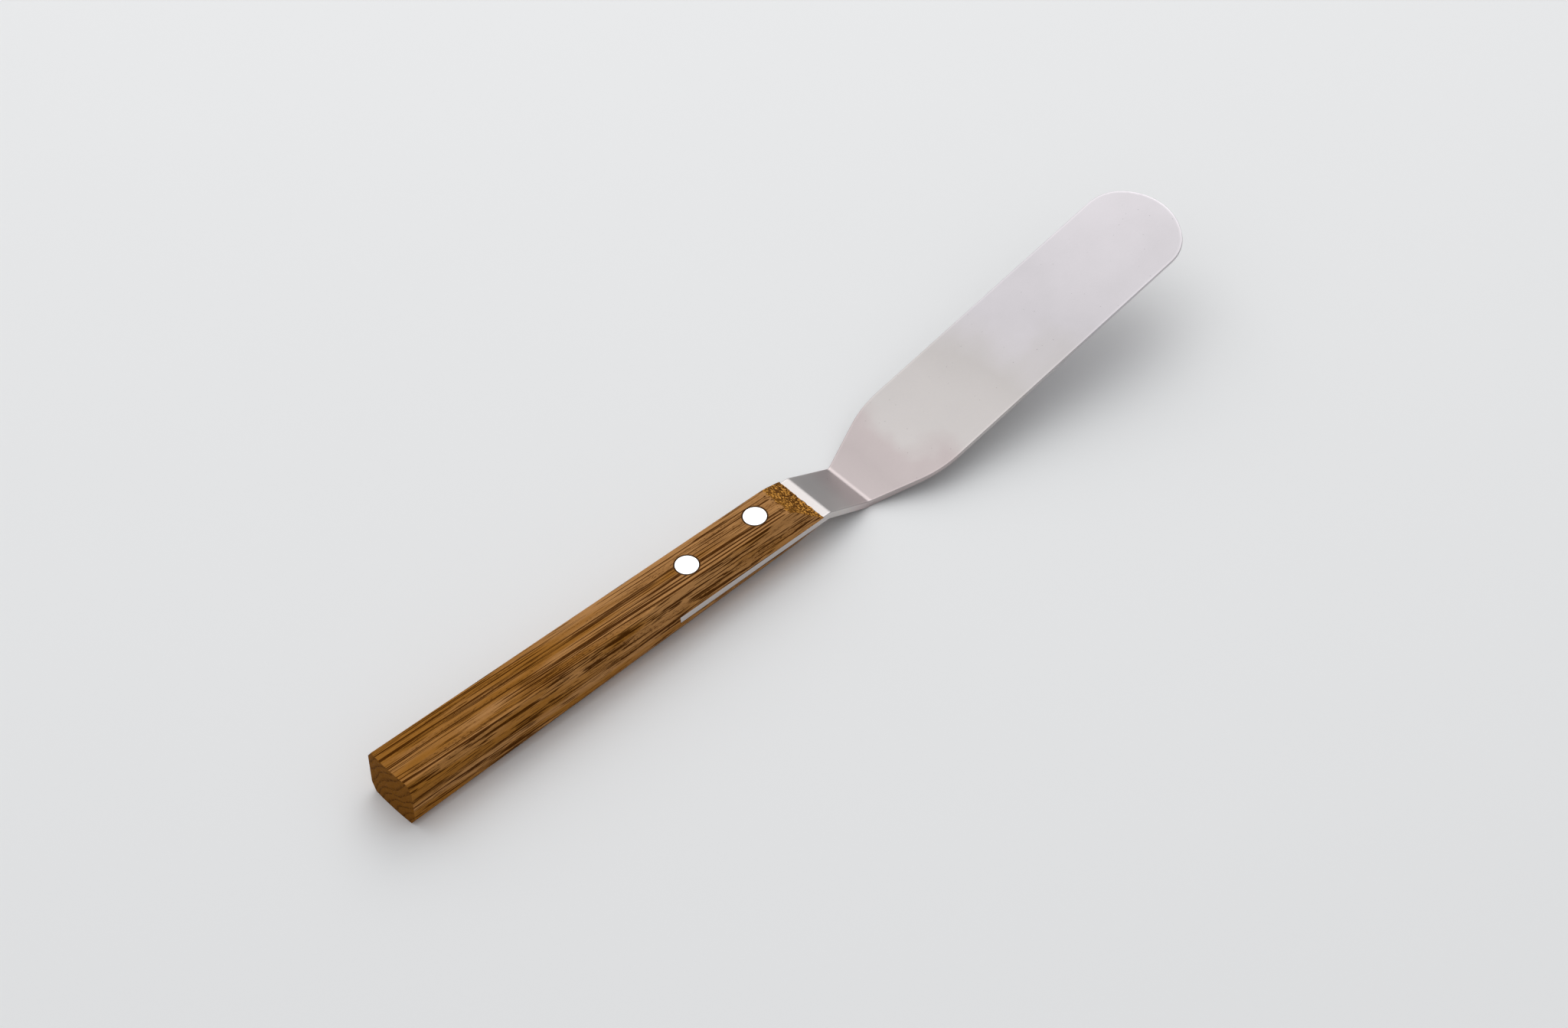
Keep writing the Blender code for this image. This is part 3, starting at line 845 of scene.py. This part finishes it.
def blade_material(colours, wear, heel_x, tip_x):
    material, tree, shader = new_material("satin_blade_steel")
    place = millimetres(tree)
    worn = use_group(tree, wear, {
        "Vector": place, "Cloud Size": 0.045, "Line Contrast": 0.6, "Speck Amount": 1.0})
    east, north = split(tree, place)["X"], split(tree, place)["Y"]

    # The grinding changes a little from the heel to the tip, with slanting, wavering borders.
    waver = times(tree, minus(tree, worn["Cloud"], 0.5), 30.0)
    waver = plus(tree, waver, times(tree, north, 0.3))
    share = add_node(tree, "ShaderNodeMapRange", {
        "Value": plus(tree, east, waver), "From Min": heel_x / MM, "From Max": tip_x / MM})
    zones = add_node(tree, "ShaderNodeValToRGB", {"Fac": share.outputs["Result"]})
    ramp = zones.color_ramp.elements
    ramp[0].color = opaque(scaled_tone(colours.heel, 1.05))
    ramp[1].color = opaque(colours.tip)
    stops = (
        (0.08, colours.heel, 0.97), (0.17, colours.heel, 1.0), (0.23, colours.middle, 1.03),
        (0.34, colours.middle, 1.0), (0.42, colours.middle, 0.93), (0.58, colours.tip, 0.91),
    )
    for stop, tone, level in stops:
        ramp.new(stop).color = opaque(scaled_tone(tone, level))

    # The tang is left plain, and the warm grinding starts on the crank.
    ground = band(tree, east, heel_x / MM - 9.0, heel_x / MM - 3.0)
    ground = mix_colour(tree, ground, opaque(scaled_tone(colours.middle, 1.06)),
                        zones.outputs["Color"])
    shade = ramped(tree, worn["Cloud"], 0.84, 0.24)
    shade = plus(tree, shade, times(tree, worn["Lines"], 0.16))
    shade = minus(tree, shade, times(tree, worn["Specks"], 0.45))
    # Painted highlight: the steel is brighter in a thin rim along its edges, where the ground
    # bevel catches the light.
    rim = math_node(tree, "POWER", stored(tree, "edge_wear_and_highlight"), 1.6)
    shade = plus(tree, shade, times(tree, rim, 0.28))
    tone = scaled(tree, ground, shade)

    rough = plus(tree, ramped(tree, worn["Cloud"], 0.26, 0.16), times(tree, worn["Lines"], 0.12))
    coat(tree, shader, tone, rough, worn["Height"], 0.25, 0.01 * MM)
    shader.inputs["Metallic"].default_value = 1.0
    return material


def rivet_material(colours, wear):
    material, tree, shader = new_material("polished_rivet")
    place = millimetres(tree, rotation=(0, 0, 0.7))
    worn = use_group(tree, wear, {
        "Vector": place, "Cloud Size": 0.5, "Line Contrast": 0.7, "Speck Amount": 0.5})
    shade = ramped(tree, worn["Lines"], 0.97, 0.12)
    shade = minus(tree, shade, times(tree, worn["Specks"], 0.35))
    tone = scaled(tree, colours.rivet, shade)
    rough = ramped(tree, worn["Cloud"], 0.16, 0.14)
    coat(tree, shader, tone, rough, worn["Height"], 0.2, 0.01 * MM)
    shader.inputs["Metallic"].default_value = 1.0
    return material


def floor_material(colours):
    material, tree, shader = new_material("studio_floor")
    level = ramped(tree, cloud(tree, millimetres(tree), 0.004, 3.0), 0.985, 0.03)
    tree.links.new(scaled(tree, colours.floor, level), shader.inputs["Base Color"])
    shader.inputs["Roughness"].default_value = 0.75
    return material


# ---------------------------------------------------------------- stage

def soft_world():
    """An even sky, brighter overhead."""
    world = bpy.data.worlds.new("soft_studio")
    world.use_nodes = True
    tree = world.node_tree
    outward = add_node(tree, "ShaderNodeTexCoord").outputs["Generated"]
    overhead = band(tree, split(tree, outward)["Z"], 0.0, 0.9)
    sky = mix_colour(tree, overhead, SKY_LOW, SKY_HIGH)
    tree.links.new(sky, tree.nodes["Background"].inputs["Color"])
    return world


def soft_lamp(name, place, aim, side, watts):
    """Hang a large square lamp that faces a point."""
    lamp = bpy.data.lights.new(name, "AREA")
    lamp.shape = "SQUARE"
    lamp.size = side
    lamp.energy = watts
    holder = bpy.data.objects.new(name, lamp)
    holder.location = place
    holder.rotation_mode = "QUATERNION"
    holder.rotation_quaternion = (aim - place).to_track_quat("-Z", "Y")
    bpy.context.scene.collection.objects.link(holder)


def studio_camera():
    """The camera, turned, lifted and rolled about the point that it looks at."""
    camera = bpy.data.objects.new("camera", bpy.data.cameras.new("camera"))
    camera.data.lens = CAMERA_LENS
    camera.data.sensor_width = CAMERA_SENSOR
    turn, lift, roll = (math.radians(degrees) for degrees in CAMERA_ANGLES)
    back = Vector((
        math.sin(turn) * math.cos(lift), -math.cos(turn) * math.cos(lift), math.sin(lift)))
    level_right = Vector((math.cos(turn), math.sin(turn), 0))
    level_up = back.cross(level_right)
    right = level_right * math.cos(roll) + level_up * math.sin(roll)
    up = level_up * math.cos(roll) - level_right * math.sin(roll)
    place = CAMERA_AIM + back * CAMERA_DISTANCE
    axes = Matrix((right, up, back)).transposed()
    camera.matrix_world = Matrix.Translation(place) @ axes.to_4x4()
    bpy.context.scene.collection.objects.link(camera)
    return camera


# ---------------------------------------------------------------- operators

class KNIFE_OT_handle(bpy.types.Operator):
    """Shape the oak handle, saw its kerf and drill its rivet seats"""

    bl_idname = "knife.handle"
    bl_label = "Oak Handle"

    def execute(self, context):
        scene = context.scene
        s, blade, rivets = scene.knife_handle, scene.knife_blade, scene.knife_rivets
        shape = shape_oak(s, blade)
        bmesh.ops.translate(shape, vec=(BUTT_X, 0, TOP_Z), verts=shape.verts)
        piece = new_piece("oak_handle", shape)
        cut_kerf(piece, s, blade)
        for place in RIVET_PLACES:
            drill_seat(piece, rivets, place)
        refine_oak(piece, s)
        figure = shared_group("oak_figure", oak_figure_group)
        heads = [head_of(place) for place in RIVET_PLACES]
        seats = [(middle, head + rivets.seat_gap) for middle, head in heads]
        material = oak_material(scene.knife_colours, figure, seats)
        finish_piece(piece, material, "handle")
        return {"FINISHED"}


class KNIFE_OT_blade(bpy.types.Operator):
    """Cut, bend and grind the steel strip that is tang, crank and blade"""

    bl_idname = "knife.blade"
    bl_label = "Steel Blade"

    def execute(self, context):
        scene = context.scene
        s, rivets = scene.knife_blade, scene.knife_rivets
        piece = new_piece("steel_blade", shape_steel(s))
        for place in RIVET_PLACES:
            punch_hole(piece, s, rivets, place)
        wear = shared_group("metal_wear", metal_wear_group)
        heel_x = BUTT_X + s.heel_bend
        material = blade_material(scene.knife_colours, wear, heel_x, BLADE_HIGH.x)
        finish_piece(piece, material, "blade")
        return {"FINISHED"}


class KNIFE_OT_rivets(bpy.types.Operator):
    """Turn the headed tube and the headed pin of each rivet"""

    bl_idname = "knife.rivets"
    bl_label = "Rivets"

    def execute(self, context):
        scene = context.scene
        s = scene.knife_rivets
        wear = shared_group("metal_wear", metal_wear_group)
        material = rivet_material(scene.knife_colours, wear)
        for place in RIVET_PLACES:
            middle, head = head_of(place)
            tube = tube_profile(s, head, *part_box(place + "_rivet_tube"))
            pin = pin_profile(s, head, *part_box(place + "_rivet_pin"))
            for part, profile in (("tube", tube), ("pin", pin)):
                shape = turned(profile, middle.x, middle.y, s.steps)
                piece = new_piece(f"{place}_{part}_turned", shape)
                finish_piece(piece, material, f"{place}_rivet_{part}")
        return {"FINISHED"}


class KNIFE_OT_stage(bpy.types.Operator):
    """Lay the pale floor and set the soft lights and the camera"""

    bl_idname = "knife.stage"
    bl_label = "Studio Stage"

    def execute(self, context):
        scene = context.scene
        shape = bmesh.new()
        bmesh.ops.create_grid(shape, x_segments=2, y_segments=2, size=FLOOR_HALF_SIDE)
        floor = new_piece("studio_floor", shape)
        floor.data.materials.append(floor_material(scene.knife_colours))

        scene.world = soft_world()
        middle = (CAD_LOW + CAD_HIGH) / 2
        for name, (offset, side, watts) in LAMPS.items():
            soft_lamp(name, middle + offset, middle, side, watts)
        scene.camera = studio_camera()
        scene.view_settings.view_transform = "Standard"
        return {"FINISHED"}


class KNIFE_PT_sidebar(bpy.types.Panel):
    """Buttons and sizes for the palette knife"""

    bl_idname = "KNIFE_PT_sidebar"
    bl_label = "Palette Knife"
    bl_space_type = "VIEW_3D"
    bl_region_type = "UI"
    bl_category = "Knife"

    def draw(self, context):
        layout = self.layout
        for operator in OPERATORS:
            layout.operator(operator.bl_idname)
        for name in SETTINGS:
            box = layout.box()
            settings = getattr(context.scene, name)
            for key in settings.bl_rna.properties.keys():
                if key not in ("rna_type", "name"):
                    box.prop(settings, key)


OPERATORS = (KNIFE_OT_handle, KNIFE_OT_blade, KNIFE_OT_rivets, KNIFE_OT_stage)
SETTINGS = {
    "knife_handle": KnifeHandleSizes,
    "knife_blade": KnifeBladeSizes,
    "knife_rivets": KnifeRivetSizes,
    "knife_colours": KnifeColours,
}


def register():
    for name, group in SETTINGS.items():
        bpy.utils.register_class(group)
        setattr(bpy.types.Scene, name, PointerProperty(type=group))
    for operator in OPERATORS:
        bpy.utils.register_class(operator)
    bpy.utils.register_class(KNIFE_PT_sidebar)


def unregister():
    bpy.utils.unregister_class(KNIFE_PT_sidebar)
    for operator in reversed(OPERATORS):
        bpy.utils.unregister_class(operator)
    for name, group in reversed(SETTINGS.items()):
        delattr(bpy.types.Scene, name)
        bpy.utils.unregister_class(group)


def main():
    register()
    bpy.ops.knife.stage()
    bpy.ops.knife.handle()
    bpy.ops.knife.blade()
    bpy.ops.knife.rivets()


if __name__ == "__main__":
    main()
